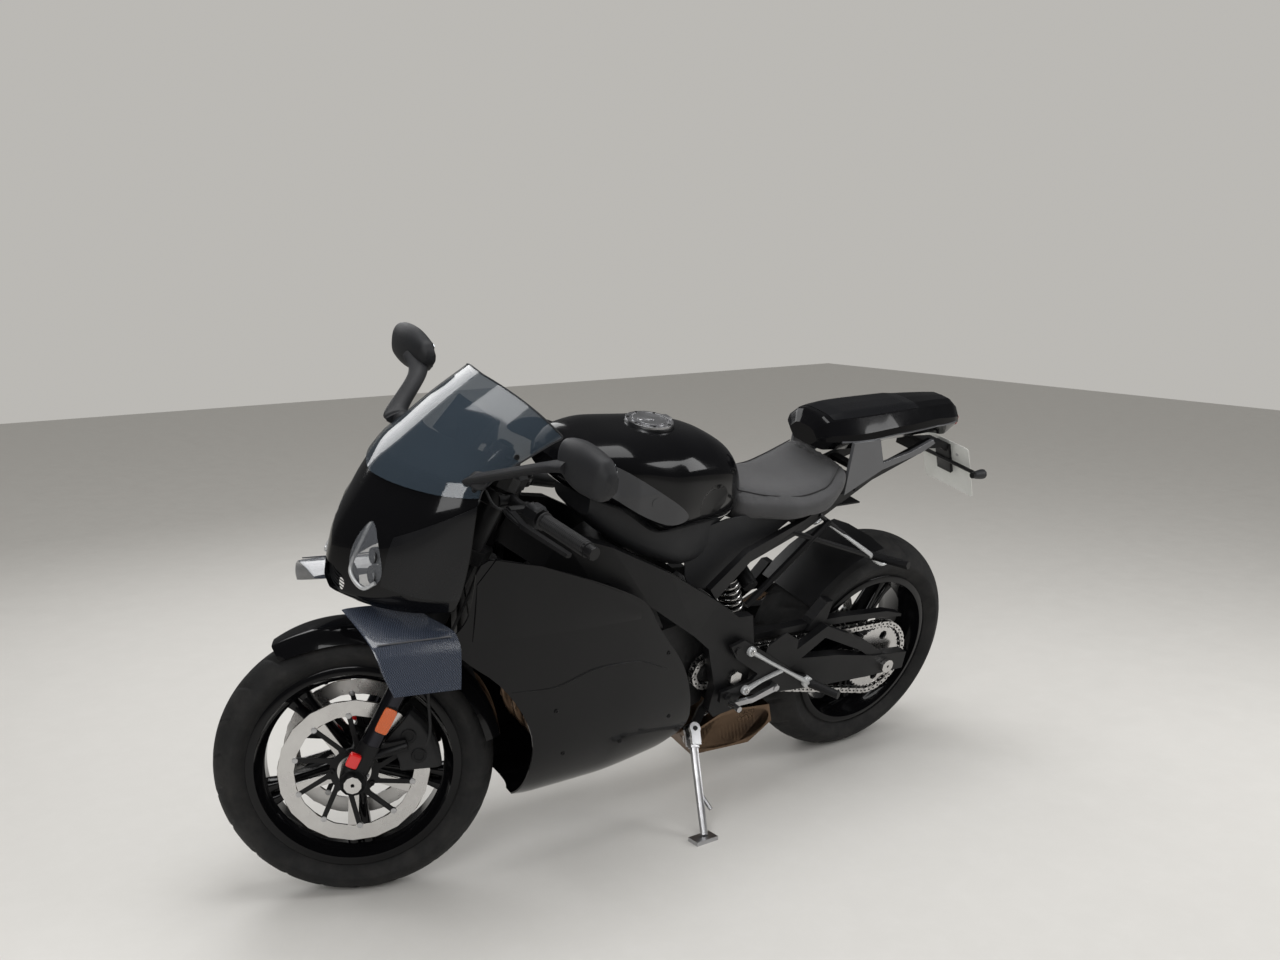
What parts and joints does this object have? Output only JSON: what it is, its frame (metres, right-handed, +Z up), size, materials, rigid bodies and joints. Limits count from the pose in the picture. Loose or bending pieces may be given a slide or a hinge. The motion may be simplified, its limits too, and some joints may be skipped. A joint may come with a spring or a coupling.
{
  "type": "sport motorcycle",
  "caption": "Sport motorcycle with full fairing, twin-spar frame, upside-down fork, chain drive and blank plate, leaning on its side stand",
  "frame": {"origin": "centre of the footprint of the whole machine's box, on the ground under it", "axes": "X forward along the machine, Y to the rider's left, Z up; the machine leans 13.6 degrees to the left"},
  "size_m": [2.0526, 0.9046, 1.2302],
  "materials": {
    "gloss_black": "gloss",
    "satin_black": "satin",
    "matt_plastic": "matt",
    "smoked_screen": "clear gloss",
    "carbon": "satin weave",
    "lamp_lens": "clear gloss",
    "red_lens": "gloss",
    "cast_alloy": "satin",
    "bright_steel": "brushed",
    "dark_cast": "satin black anodised",
    "heated_steel": "bronze heat tint",
    "tyre_rubber": "matt",
    "seat_cover": "matt",
    "blank_plate": "painted"
  },
  "bodies": {
    "chassis": {"main_frame": "satin_black", "pivot_shaft": "bright_steel", "subframe": "dark_cast", "engine": "dark_cast", "radiator": "dark_cast", "exhaust": "heated_steel", "swingarm": "satin_black", "chain": "bright_steel", "rear_hugger": "satin_black", "rear_caliper": "dark_cast", "rear_shock": "dark_cast", "rear_axle": "bright_steel", "footrest_left": "dark_cast", "footrest_right": "dark_cast", "gear_lever": "dark_cast", "brake_pedal": "dark_cast", "nose_cowl": "gloss_black", "screen": "smoked_screen", "headlight": "lamp_lens", "instrument": "satin_black", "fairing_left": "gloss_black", "fairing_right": "gloss_black", "winglet_left": "carbon", "winglet_right": "carbon", "mirror_left": "matt_plastic", "mirror_right": "matt_plastic", "tank_cover_left": "matt_plastic", "tank_cover_right": "matt_plastic", "tail_fin_left": "satin_black", "tail_fin_right": "satin_black", "tank": "gloss_black", "filler_cap": "cast_alloy", "rider_seat": "seat_cover", "tail_cowl": "gloss_black", "tail_lamp": "red_lens", "plate_hanger": "satin_black", "number_plate": "blank_plate"},
    "steering": {"steering_clamps": "dark_cast", "fork_left": "satin_black", "fork_right": "satin_black", "clip_on_left": "satin_black", "clip_on_right": "satin_black", "front_mudguard": "gloss_black", "front_caliper_left": "dark_cast", "front_caliper_right": "dark_cast", "front_axle": "bright_steel"},
    "front_wheel": {"front_tyre": "tyre_rubber", "front_rim": "gloss_black", "front_disc_left": "bright_steel", "front_disc_right": "bright_steel"},
    "rear_wheel": {"rear_tyre": "tyre_rubber", "rear_rim": "gloss_black", "rear_disc": "bright_steel", "rear_sprocket": "bright_steel"},
    "side_stand": {"side_stand": "cast_alloy"}
  },
  "joints": [
    {"name": "steering", "type": "hinge", "parent": "chassis", "child": "steering", "pos_m": [0.46916, -0.05874, 0.84489], "axis": [-0.4071, 0.2151, 0.8877], "range_deg": [0, 56]},
    {"name": "front_wheel_spin", "type": "hinge", "parent": "steering", "child": "front_wheel", "pos_m": [0.74962, -0.20536, 0.29934], "axis": [0.4296, 0.9027, -0.0218], "continuous": true},
    {"name": "rear_wheel_spin", "type": "hinge", "parent": "chassis", "child": "rear_wheel", "pos_m": [-0.70426, -0.18617, 0.31345], "axis": [0.0009, 0.972, -0.2351], "continuous": true},
    {"name": "side_stand_fold", "type": "hinge", "parent": "chassis", "child": "side_stand", "pos_m": [-0.07387, -0.07082, 0.21863], "axis": [-0.0021, 0.8541, 0.5201], "range_deg": [0, 90]}
  ]
}
